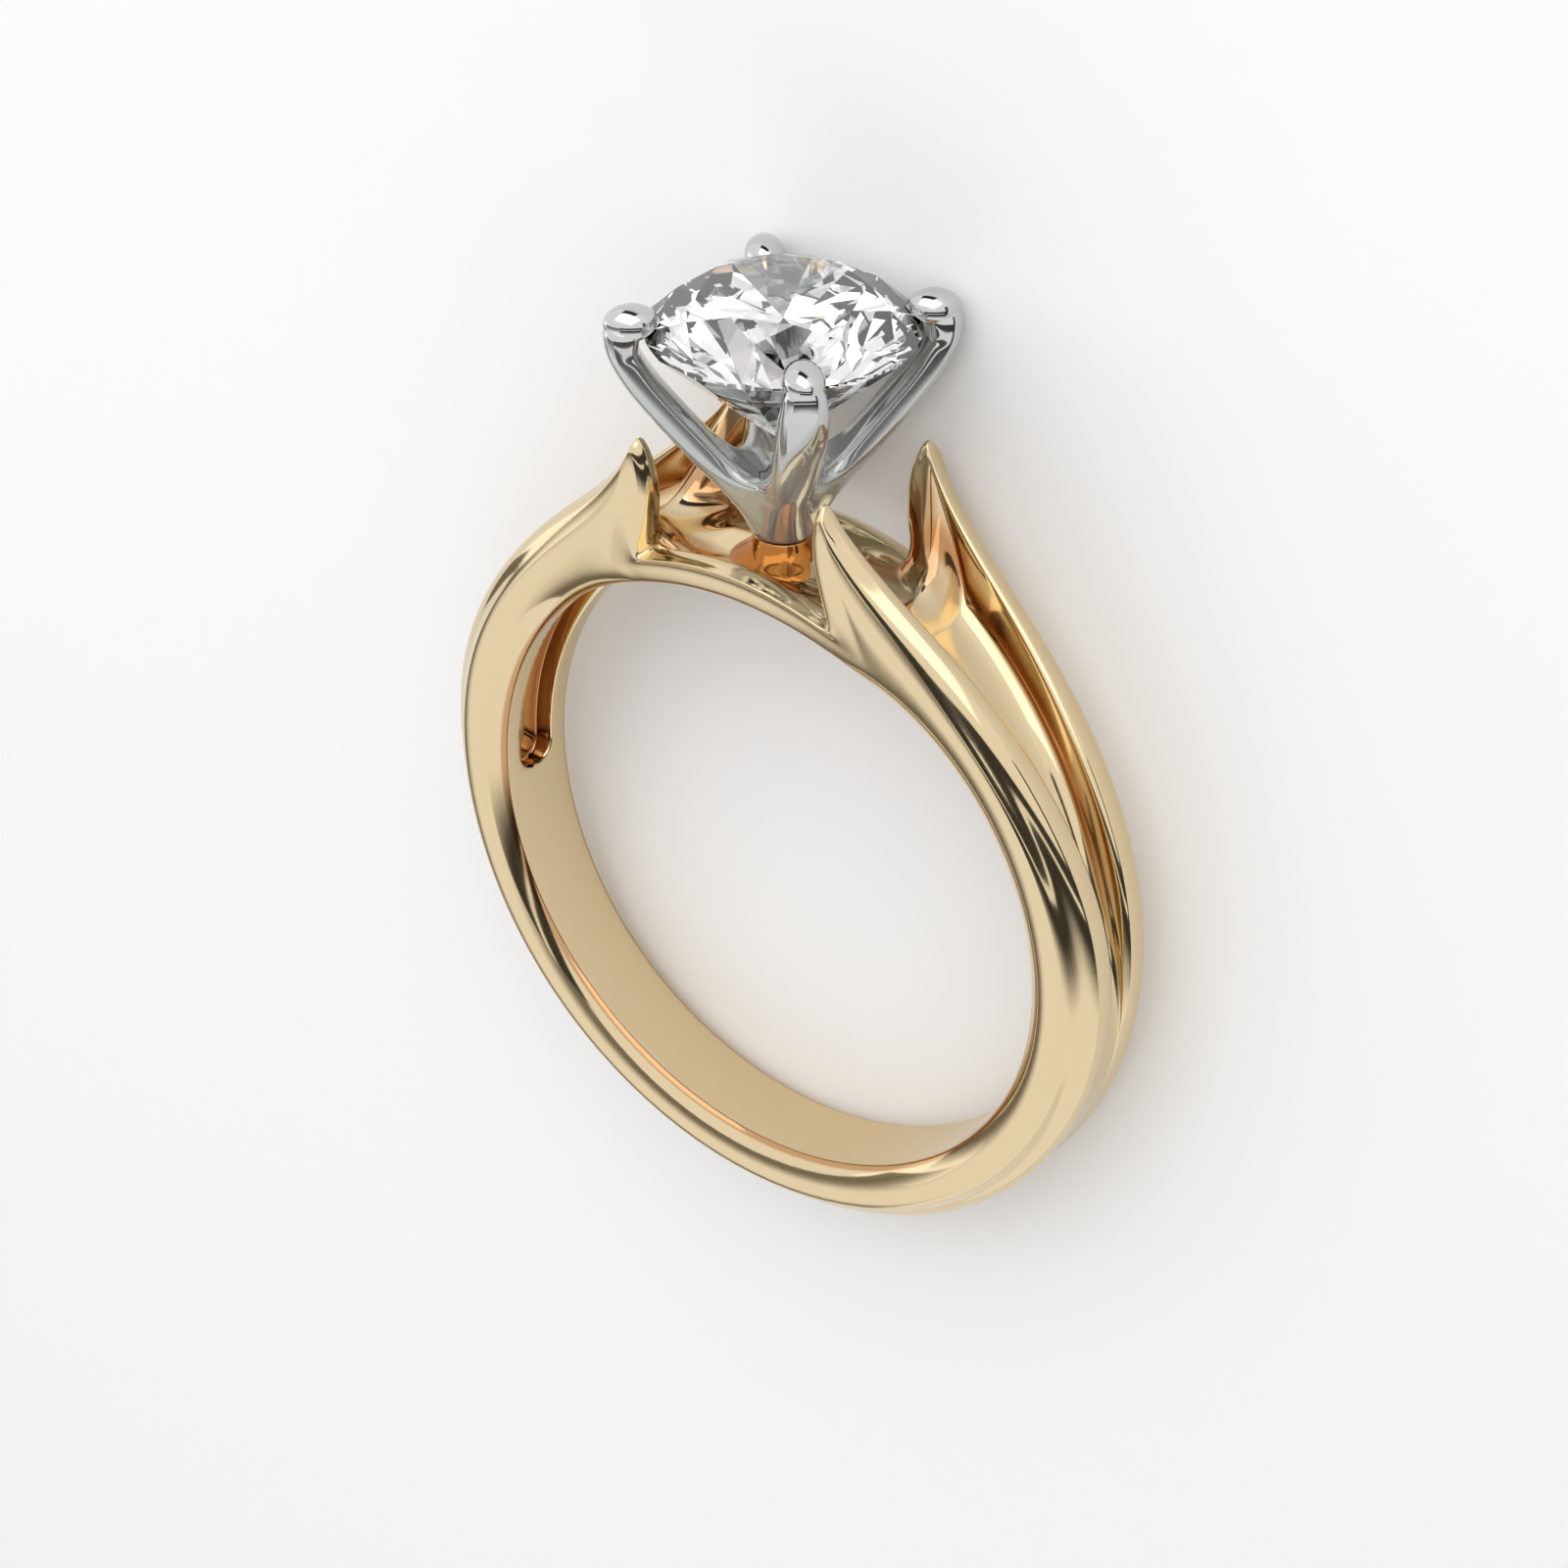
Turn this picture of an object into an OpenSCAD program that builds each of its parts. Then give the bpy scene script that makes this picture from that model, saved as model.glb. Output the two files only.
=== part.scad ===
// Split shank solitaire ring, lying on its side; all lengths in millimetres.
// The modules draw it upright: X across the finger hole, -Y its front, Z towards the stone.

/* [View] */
// Piece to draw, or all of them

/* [Shank] */
// Inside diameter of the finger hole
bore_d = 17.3; // [16.9:0.05:17.7]
// Radial thickness of the band opposite the stone
band_t = 1.65; // [1.5:0.05:1.8]
// Width of the band opposite the stone
band_w = 2.9; // [2.7:0.05:3.1]
// Height of the leaf tips above the finger hole's wall
leaf_h = 4.0; // [3.8:0.05:4.15]
// Width of the shank across the leaf tips
leaf_w = 4.84; // [4.7:0.02:5]
// Radial thickness of the bridge under the setting
bridge_t = 0.95; // [0.9:0.01:1.05]

/* [Pockets] */
// Depth of the hollow inside each shoulder, from the finger hole's wall
pocket_t = 0.5; // [0.3:0.05:0.55]
// Width of the hollow near its lower end
pocket_w = 1.2; // [1:0.02:1.24]

/* [Setting] */
// Diameter of the setting's foot on the bridge's post
foot_d = 1.6; // [1.4:0.05:1.8]
// Height of the foot above the finger hole's wall
foot_h = 1.17; // [1.1:0.01:1.25]
// Radial thickness of a prong
prong_t = 0.8; // [0.74:0.01:0.84]
// Width of a prong across
prong_w = 1.1; // [0.95:0.05:1.15]
// Length of the bead at a prong's end, towards the stone
bead_l = 1.3; // [1.2:0.02:1.34]

/* [Stone] */
// Diameter of the stone at its girdle
stone_d = 6.66; // [6.5:0.01:6.72]
// Height of the girdle above the setting's foot
girdle_h = 5.43; // [5.38:0.01:5.48]
// Width of the table as a share of the stone's diameter
table_share = 0.61; // [0.57:0.01:0.63]
// Slope of the crown's main facets, degrees
crown_angle = 35.5; // [34:0.5:36.5]
// Slope of the pavilion's main facets, degrees
pavilion_angle = 41; // [40:0.2:42]
// Height of the girdle where the main facets meet it
girdle_t = 0.17; // [0.15:0.01:0.2]

/* [Hidden] */

bore_r = bore_d / 2;
gold = [0.86, 0.68, 0.42];
white_gold = [0.8, 0.81, 0.8];
clear = [0.9, 0.93, 0.95];

// Facets of the finger hole
round_fn = 180;
// Depth to which the shank's blank runs inside the finger hole before that is cut
blank_in = 0.35;

// Weights of four neighbouring values on a uniform cubic B-spline
function spline_weights(f) = [
    pow(1 - f, 3),
    3 * pow(f, 3) - 6 * f * f + 4,
    -3 * pow(f, 3) + 3 * f * f + 3 * f + 1,
    pow(f, 3)
] / 6;

// Point of the plane X, Z at an angle from straight up and a radius
function polar(angle, radius) = [radius * sin(angle), radius * cos(angle)];

// Point of the plane X, Z set at a depth behind the ring's middle plane
function at_depth(p, y) = [p[0], y, p[1]];

function mix(a, b, share) = a + (b - a) * share;
function flip_x(p) = [-p[0], p[1], p[2]];
function flip_y(p) = [p[0], -p[1], p[2]];
function backwards(list) = [for (i = [len(list) - 1 : -1 : 0]) list[i]];

// Stations of one quarter of the shank, from opposite the stone round to under it.
// angle on the finger hole, angle at the waist, angle and height of the outer outline,
// then half widths at the crease, widest, at the outer ridge and at the channel's edge,
// then the edge's drop below the outline and the heights of the channel's foot, floor and middle.
plan = [
    [180,  180,  180,   1.65, 0.88, 1.50, 1.14, 0.50, 0,    1.63, 1.65, 1.65],
    [150,  150,  150,   1.65, 0.88, 1.50, 1.14, 0.50, 0,    1.63, 1.65, 1.65],
    [125,  125,  125,   1.70, 0.90, 1.56, 1.14, 0.48, 0,    1.67, 1.69, 1.69],
    [108,  108,  108,   1.75, 0.93, 1.62, 1.14, 0.42, 0,    1.71, 1.73, 1.73],
    [94,   94,   94,    1.84, 0.97, 1.67, 1.18, 0.34, 0,    1.70, 1.67, 1.67],
    [83,   83,   83,    1.89, 1.00, 1.71, 1.27, 0.34, 0,    1.37, 1.33, 1.33],
    [73,   73,   73,    1.90, 1.02, 1.76, 1.40, 0.46, 0,    1.07, 0.99, 0.97],
    [63,   63,   63,    1.87, 1.04, 1.81, 1.54, 0.60, 0,    1.03, 0.93, 0.91],
    [54,   54,   53.5,  1.87, 1.07, 1.86, 1.68, 0.76, 0,    1.03, 0.93, 0.91],
    [46,   46.5, 44.5,  1.93, 1.13, 1.91, 1.79, 0.95, 0,    1.03, 0.93, 0.91],
    [39.5, 40,   36,    2.09, 1.22, 1.96, 1.89, 1.15, 0,    1.03, 0.93, 0.91],
    [34,   35,   28,    2.33, 1.34, 1.99, 2.02, 1.36, 0,    1.03, 0.93, 0.91],
    [30,   31.3, 21.5,  2.73, 1.45, 2.02, 2.16, 1.55, 0,    1.03, 0.93, 0.91],
    [27,   28.7, 16.8,  3.25, 1.54, 2.03, 2.29, 1.72, 0,    1.03, 0.93, 0.91],
    [24.8, 27,   14,    3.75, 1.60, 2.03, 2.37, 1.86, 0,    1.02, 0.93, 0.91],
    [23.6, 26,   13,    4.07, 1.64, 2.03, 2.40, 1.92, 0,    1.01, 0.92, 0.91],
    [22.6, 25.2, 12.4,  3.75, 1.67, 2.03, 2.38, 1.84, 0,    1.00, 0.92, 0.91],
    [21.6, 24.2, 12.3,  3.15, 1.69, 2.03, 2.33, 1.75, 0,    0.97, 0.91, 0.91],
    [20.6, 23,   12.9,  2.40, 1.70, 2.03, 2.22, 1.66, 0,    0.93, 0.89, 0.91],
    [19.4, 21.6, 15.3,  1.45, 1.72, 2.03, 2.04, 1.52, 0.02, 0.85, 0.83, 0.91],
    [17.8, 19.8, 18.0,  0.84, 1.74, 2.04, 1.93, 1.42, 0.08, 0.73, 0.73, 0.91],
    [14.5, 15.5, 15.2,  0.87, 1.76, 2.05, 1.98, 1.34, 0.16, 0.57, 0.57, 0.89],
    [9.8,  10,   10,    0.91, 1.79, 2.05, 2.04, 1.26, 0.24, 0.49, 0.47, 0.85],
    [4.9,  5,    5,     0.94, 1.80, 2.05, 2.05, 1.22, 0.26, 0.47, 0.45, 0.81],
    [0,    0,    0,     0.95, 1.80, 2.05, 2.05, 1.20, 0.26, 0.47, 0.45, 0.80]
];
last_station = len(plan) - 1;

// Sizes at which the plan is written
plan_band_t = 1.65;
plan_band_w = 2.9;
plan_leaf_h = 4;
plan_leaf_w = 4.84;
plan_bridge_t = 0.95;

// Scales that carry the plan's half widths and heights to the chosen sizes
function width_scale(i) =
    mix(band_w / plan_band_w, leaf_w / plan_leaf_w, min(max(i, 0), last_station) / last_station);
bridge_scale = bridge_t / plan_bridge_t;
function outline_scale(h) =
    h > 1.9 ? leaf_h / plan_leaf_h : h < 1.1 ? bridge_scale : band_t / plan_band_t;

// Station i at its chosen size, mirrored past both ends of the quarter
function station(i) =
    let(
        row = plan[i < 0 ? -i : i > last_station ? 2 * last_station - i : i],
        turn = i < 0 ? [360 - row[0], 360 - row[1], 360 - row[2]]
             : i > last_station ? [-row[0], -row[1], -row[2]] : [row[0], row[1], row[2]],
        w = width_scale(i)
    )
    concat(turn, [row[3] * outline_scale(row[3])], [for (k = [4 : 7]) row[k] * w],
        [for (k = [8 : 11]) row[k] * bridge_scale]);

// Smoothed station at t, a whole number at each station of the plan
function smooth_station(t) =
    let(i = min(floor(t), last_station - 1), w = spline_weights(t - i))
    w * [station(i - 1), station(i), station(i + 1), station(i + 2)];

// Radius of the waist, the line at which the leaves part from the bridge
waist_r = bore_r + 0.6 * bridge_scale;
// Distance kept between the ridge and the points that round it
ridge_round = 0.28;

// Points that steer the front skin at t, from the finger hole over the outline to the channel's middle
function skin_net(t) =
    let(
        q = smooth_station(t),
        hole = polar(q[0], bore_r),
        waist = polar(q[1], waist_r),
        outer = polar(q[2], bore_r + q[3]),
        span = norm(outer - waist),
        out = (outer - waist) / span,
        near = min(ridge_round, 0.3 * span),
        edge = outer - out * q[8],
        foot = polar(q[1], bore_r + q[9]),
        floor_side = polar(q[1], bore_r + q[10]),
        middle = polar(q[1], bore_r + q[11]),
        rise = max(norm(edge - foot), 0.001),
        crease = q[4], widest = q[5], ridge = q[6], inner = q[7]
    )
    [
        at_depth(polar(q[0], bore_r - 0.14), -crease),
        at_depth(mix(hole, waist, 0.12), -mix(crease, widest, 0.62)),
        at_depth(mix(hole, waist, 0.4), -widest - 0.01),
        at_depth(mix(hole, waist, 0.85), -widest - 0.03),
        at_depth(mix(waist, outer, 0.25), -mix(widest, ridge, 0.25) - 0.05),
        at_depth(mix(waist, outer, 0.55), -mix(widest, ridge, 0.55) - 0.05),
        at_depth(outer - out * near, -ridge - 0.06),
        at_depth(outer - out * near * 0.35, -ridge - 0.01),
        at_depth(outer, -ridge + 0.14),
        at_depth(mix(outer, edge, 0.3) + out * 0.03, -mix(ridge, inner, 0.4)),
        at_depth(mix(outer, edge, 0.7) + out * 0.03, -mix(ridge, inner, 0.72)),
        at_depth(edge, -inner - 0.06),
        at_depth(mix(edge, foot, min(0.12 / rise, 0.3)), -inner + 0.01),
        at_depth(mix(edge, foot, 0.45), -inner + 0.03),
        at_depth(mix(edge, foot, 0.85), -inner + 0.05),
        at_depth(foot, -inner + 0.14),
        at_depth(mix(foot, floor_side, 0.7), -inner * 0.62),
        at_depth(mix(floor_side, middle, 0.6), -inner * 0.28),
        at_depth(middle, -inner * 0.1),
        at_depth(middle, 0)
    ];

// Smooth curve along steering points: it starts on the first and meets the middle plane squarely
function curve(net, samples) =
    let(
        n = len(net),
        run = concat([net[0], net[0]], net, [flip_y(net[n - 2])])
    )
    [for (u = samples)
        let(i = min(floor(u), n - 1), w = spline_weights(u - i))
        w * [run[i], run[i + 1], run[i + 2], run[i + 3]]];

// Places along the curve at which the skin is sampled, closer where it turns
skin_samples = [0, 1.5, 2.5, 3.5, 5, 6.5, 7.5, 8.3, 8.9, 9.5, 10.2, 11, 12, 12.7, 13.3, 14,
    15.2, 16.4, 17.4, 18.4, 20];

// Places at which sections stand, numbered by the plan's rows: closer where the rows are far apart
station_places = concat([for (t = [0 : 0.25 : 3.9]) t], [for (t = [4 : 0.5 : last_station]) t]);

// Closed section of the shank's blank at t, right round from the front's inside
function shank_section(t) =
    let(
        q = smooth_station(t),
        front = curve(skin_net(t), skin_samples),
        inside = polar(q[0], bore_r - blank_in),
        back = [for (p = backwards([for (i = [0 : len(front) - 2]) front[i]])) flip_y(p)]
    )
    concat([at_depth(inside, -q[4] * 0.8)], front, back, [at_depth(inside, q[4] * 0.8)]);

// Solid between closed sections of equally many points, each counterclockwise seen from the next;
// the last joins the first again if looped
module through_sections(sections, looped = false) {
    rows = len(sections);
    n = len(sections[0]);
    walls = [
        for (r = [0 : rows - (looped ? 1 : 2)], c = [0 : n - 1])
            let(
                a = r * n + c,
                b = r * n + (c + 1) % n,
                d = ((r + 1) % rows) * n + c,
                e = ((r + 1) % rows) * n + (c + 1) % n
            )
            each [[a, e, b], [a, d, e]]
    ];
    lids = looped ? [] : [[for (c = [0 : n - 1]) c], [for (c = [n - 1 : -1 : 0]) (rows - 1) * n + c]];
    polyhedron(points = [for (s = sections) each s], faces = concat(walls, lids), convexity = 10);
}

// Blank of the shank: band, both pairs of leaves and the bridge in one closed sweep
module shank_blank() {
    right = [for (t = station_places) shank_section(t)];
    left = [for (i = [len(right) - 2 : -1 : 1]) [for (p = right[i]) flip_x(p)]];
    through_sections(concat(right, left), looped = true);
}

// Rim of the hollow inside a shoulder: angle from straight up, half width
pocket_rim = [
    [89, pocket_w / 2],
    [75, 0.61],
    [64, 0.66],
    [54, 0.73],
    [45, 0.81],
    [36, 0.91],
    [28, 1.0],
    [21, 1.02],
    [16, 0.92],
    [13.5, 0.75],
    [12, 0.45]
];

// Hollows inside both shoulders: seen from the side one rim, round at its lower end, cut as deep
// as the cylinder round the finger hole and left shallow under the bridge
module pockets() {
    low = pocket_rim[0];
    low_z = bore_r * cos(low[0]);
    low_end = [for (a = [-75 : 15 : 75]) [low[1] * sin(a), low_z - low[1] * cos(a)]];
    side = [for (q = pocket_rim) [q[1], bore_r * cos(q[0])]];
    rim = concat(low_end, side, [for (q = backwards(side)) [-q[0], q[1]]]);
    intersection() {
        rotate([90, 0, 0])
            cylinder(r = bore_r + pocket_t, h = leaf_w, center = true, $fn = round_fn);
        rotate([90, 0, 90])
            linear_extrude(2 * bore_r + band_t, center = true)
                polygon(rim);
    }
}

foot_r = foot_d / 2;
foot_z = bore_r + foot_h;
// Gap left at seats between pieces
seat_gap = 0.02;

// Flared post that carries the setting, turned about the stone's axis
module post() {
    rotate_extrude($fn = 64)
        polygon([[0, foot_z - 0.9], [1.3, foot_z - 0.9], [1.26, foot_z - 0.62], [1.05, foot_z - 0.5],
                 [0.86, foot_z - 0.34], [0.76, foot_z - 0.18], [foot_r - 0.06, foot_z - seat_gap],
                 [0, foot_z - seat_gap]]);
}

module shank() {
    color(gold) lying()
    difference() {
        union() {
            shank_blank();
            post();
        }
        rotate([90, 0, 0])
            cylinder(r = bore_r, h = band_w + leaf_w, center = true, $fn = round_fn);
        pockets();
    }
}

// Outer line of a prong above the foot: distance from the stone's axis, height above the foot
prong_plan = [
    [0.79, 0.04],
    [0.98, 0.41],
    [1.2, 0.76],
    [1.85, 1.64],
    [2.57, 2.54],
    [3.22, 3.34],
    [3.52, 3.7],
    [3.87, 4.22],
    [4.08, 4.6],
    [4.22, 5.0],
    [4.28, 5.6]
];

// Corner-rounded rectangle across a prong: outer and inner distance from the axis, half width
function prong_outline(outer, inner, half) =
    let(c = 0.3 * half)
    [[outer, 0], [outer - 0.02, 0.5 * half], [outer - 0.4 * c, half - 0.35 * c], [outer - 1.3 * c, half],
     [inner + 1.3 * c, half], [inner + 0.4 * c, half - 0.4 * c], [inner, half - 1.5 * c], [inner, 0]];

function prong_section(i) =
    let(
        n = len(prong_plan) - 1,
        here = prong_plan[i],
        before = prong_plan[max(i - 1, 0)],
        after = prong_plan[min(i + 1, n)],
        lean = (after - before) / norm(after - before),
        across = prong_t / lean[1],
        inner = max(here[0] - across, 0.25),
        side = prong_outline(here[0], inner, prong_w / 2),
        whole = concat(side, [for (k = [len(side) - 2 : -1 : 1]) [side[k][0], -side[k][1]]])
    )
    [for (p = whole) [p[0], p[1], foot_z + here[1]]];

girdle_r = stone_d / 2;
girdle_z = foot_z + girdle_h;
table_r = table_share * girdle_r;
crown_h = (girdle_r - table_r) * tan(crown_angle);

// Height of the crown's main facet at a distance from the stone's axis
function crown_z(x) = girdle_z + girdle_t / 2 + (girdle_r - x) * tan(crown_angle);

// Rounded bead at a prong's end: half length towards the stone, half width, half height,
// then its middle's distance from the stone's axis and height above the foot
bead_r = bead_l / 2;
bead_side = 0.5;
bead_high = 0.48;
bead_out = 3.66;
bead_up = 5.67;

// Prong, drawn in at its end to finish inside the bead
module prong() {
    sections = [for (i = [0 : len(prong_plan) - 1]) prong_section(i)];
    end = [for (p = sections[len(sections) - 1]) [mix(p[0], bead_out, 0.5), p[1] / 2, p[2] + 0.2]];
    through_sections(concat(sections, [end]));
}

// Bead, its underside cut flat just clear of the stone's crown
module bead() {
    through_sections([for (a = [-75 : 18.75 : 75])
        [for (b = [0 : 22.5 : 337.5])
            let(
                x = bead_out + bead_r * cos(a) * cos(b),
                y = bead_side * cos(a) * sin(b),
                z = foot_z + bead_up + bead_high * sin(a)
            )
            [x, y, max(z, crown_z(x) + 2 * seat_gap)]]]);
}

// Turned cup from which the prongs rise, hollowed under the stone's point
module cup() {
    rotate_extrude($fn = 64)
        polygon([[0, foot_z], [foot_r, foot_z], [0.94, foot_z + 0.14], [1.03, foot_z + 0.5],
                 [1.05, foot_z + 1.1], [1.06, foot_z + 1.75], [1.0, foot_z + 1.9],
                 [0.86, foot_z + 1.94], [0.4, foot_z + 1.72], [0, foot_z + 1.66]]);
}

module setting() {
    color(white_gold) lying() {
        cup();
        for (turn = [45 : 90 : 315]) rotate([0, 0, turn]) {
            prong();
            bead();
        }
    }
}

// Angle between two main facets of the stone
main_step = 45;
// Pieces into which the girdle's arc over one small facet is divided
arc_steps = 4;
// Distance of the lower small facets' tips from the stone's axis, as a share of its radius
lower_share = 0.23;

// Point at an angle round the stone's axis
function around(angle, radius, z) = [radius * cos(angle), radius * sin(angle), z];

// Height on the plane through three points, above the point at an angle on the girdle
function plane_height(p, q, r, angle) =
    let(normal = cross(q - p, r - p), at = around(angle, girdle_r, 0))
    p[2] - (normal[0] * (at[0] - p[0]) + normal[1] * (at[1] - p[1])) / normal[2];

// Brilliant-cut stone: table, stars, kites and small facets above the round girdle,
// small facets and mains below it, each a flat face whose corners follow from the slopes
module brilliant() {
    half_step = main_step / 2;
    star_r = (table_r * cos(half_step) + girdle_r) / 2;
    star_h = crown_h - (star_r * cos(half_step) - table_r) * tan(crown_angle);
    low_r = lower_share * girdle_r;
    low_h = -(girdle_r - low_r * cos(half_step)) * tan(pavilion_angle);
    point_h = -girdle_r * tan(pavilion_angle);
    top = girdle_z + girdle_t / 2;
    base = girdle_z - girdle_t / 2;
    mains = 360 / main_step;
    arcs = 2 * mains * arc_steps;

    table_ring = [for (k = [0 : mains - 1]) around(main_step * k, table_r, top + crown_h)];
    star_ring = [for (k = [0 : mains - 1]) around(main_step * k + half_step, star_r, top + star_h)];
    low_ring = [for (k = [0 : mains - 1]) around(main_step * k + half_step, low_r, base + low_h)];

    // Girdle rings: the edge dips between the corners of the small facets
    function edge(tips, z) = [for (i = [0 : arcs - 1])
        let(
            angle = 360 * i / arcs,
            k = floor(angle / main_step),
            main = angle - main_step * k < half_step ? k : k + 1,
            height = plane_height(tips[k], around(main_step * main, girdle_r, z),
                around(main_step * k + half_step, girdle_r, z), angle)
        )
        around(angle, girdle_r, height)];
    top_ring = edge(star_ring, top);
    base_ring = edge(low_ring, base);

    t = 0;
    s = mains;
    g = 2 * mains;
    b = g + arcs;
    l = b + arcs;
    point = l + mains;
    per = 2 * arc_steps;
    upper = concat(
        [[for (k = [mains - 1 : -1 : 0]) t + k]],
        [for (k = [0 : mains - 1])
            let(next = (k + 1) % mains, prior = (k + mains - 1) % mains)
            each [
                [t + k, t + next, s + k],
                [t + k, s + k, g + per * k, s + prior],
                concat([s + k], [for (i = [arc_steps : -1 : 0]) g + per * k + i]),
                concat([s + k], [for (i = [per : -1 : arc_steps]) g + (per * k + i) % arcs])
            ]]
    );
    belt = [for (i = [0 : arcs - 1]) [g + i, g + (i + 1) % arcs, b + (i + 1) % arcs, b + i]];
    lower = [for (k = [0 : mains - 1])
        let(prior = (k + mains - 1) % mains)
        each [
            [l + prior, b + per * k, l + k, point],
            concat([l + k], [for (i = [0 : arc_steps]) b + per * k + i]),
            concat([l + k], [for (i = [arc_steps : per]) b + (per * k + i) % arcs])
        ]];
    polyhedron(
        points = concat(table_ring, star_ring, top_ring, base_ring, low_ring, [[0, 0, base + point_h]]),
        faces = concat(upper, belt, lower),
        convexity = 2
    );
}

module stone() {
    color(clear) lying() brilliant();
}

// Depth and height, upright, of the points on which the head can lie: two prongs and the stone's edge
head_points = concat(
    [for (i = [0 : len(prong_plan) - 1]) for (p = prong_section(i)) [-(p[0] + p[1]) * sin(45), p[2]]],
    [for (side = [-1, 1]) [-girdle_r, girdle_z + side * girdle_t / 2]]
);
// Tilt at which a line from a point of the band opposite the stone first meets the head
function tilt_from(b) = max([for (p = head_points) atan((b[1] - p[0]) / (p[1] - b[2]))]);
// Tilt at which the ring lies on its head and on that part of the band
lying_tilt = min([for (b = shank_section(0)) tilt_from(b)]);

// Turns the upright ring down onto its back
module lying() {
    rotate([lying_tilt - 90, 0, 0]) children();
}

shank();
setting();
stone();
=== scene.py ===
"""Split shank engagement ring laid down on a pale studio floor, all in metres."""

import bpy
import numpy as np
from mathutils import Matrix, Vector


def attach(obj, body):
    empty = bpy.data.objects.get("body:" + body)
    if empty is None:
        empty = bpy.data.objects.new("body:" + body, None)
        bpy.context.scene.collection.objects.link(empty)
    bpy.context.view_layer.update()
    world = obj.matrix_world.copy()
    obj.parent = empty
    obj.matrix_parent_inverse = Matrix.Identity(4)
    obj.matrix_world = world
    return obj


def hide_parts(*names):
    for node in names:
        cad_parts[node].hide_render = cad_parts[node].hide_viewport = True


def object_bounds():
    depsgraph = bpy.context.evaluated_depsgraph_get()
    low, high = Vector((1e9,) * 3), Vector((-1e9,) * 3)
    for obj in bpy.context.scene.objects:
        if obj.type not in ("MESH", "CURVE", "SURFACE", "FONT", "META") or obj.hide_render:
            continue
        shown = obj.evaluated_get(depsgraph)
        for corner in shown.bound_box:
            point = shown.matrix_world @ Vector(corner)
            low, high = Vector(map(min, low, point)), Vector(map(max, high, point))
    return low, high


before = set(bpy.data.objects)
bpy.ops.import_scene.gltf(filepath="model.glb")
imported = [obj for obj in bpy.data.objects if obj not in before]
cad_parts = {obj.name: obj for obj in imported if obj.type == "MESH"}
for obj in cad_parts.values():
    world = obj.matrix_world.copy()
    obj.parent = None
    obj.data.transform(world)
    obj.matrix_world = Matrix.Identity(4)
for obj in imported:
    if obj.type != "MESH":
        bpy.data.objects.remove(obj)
packed_low, packed_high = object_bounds()


# Shank. Cast and hand-polished yellow gold: a flat-bored band that splits into
# two pairs of pointed leaves and carries a bridge between them under the head.
# Its skin is one smooth surface; the finger hole's wall meets it at a rounded rim.

BORE_R = 8.65
WAIST_R = 9.25
# Angle by which the upright ring, once on its back, dips until band and head both touch the floor
TILT = np.radians(4.29395)

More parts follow.
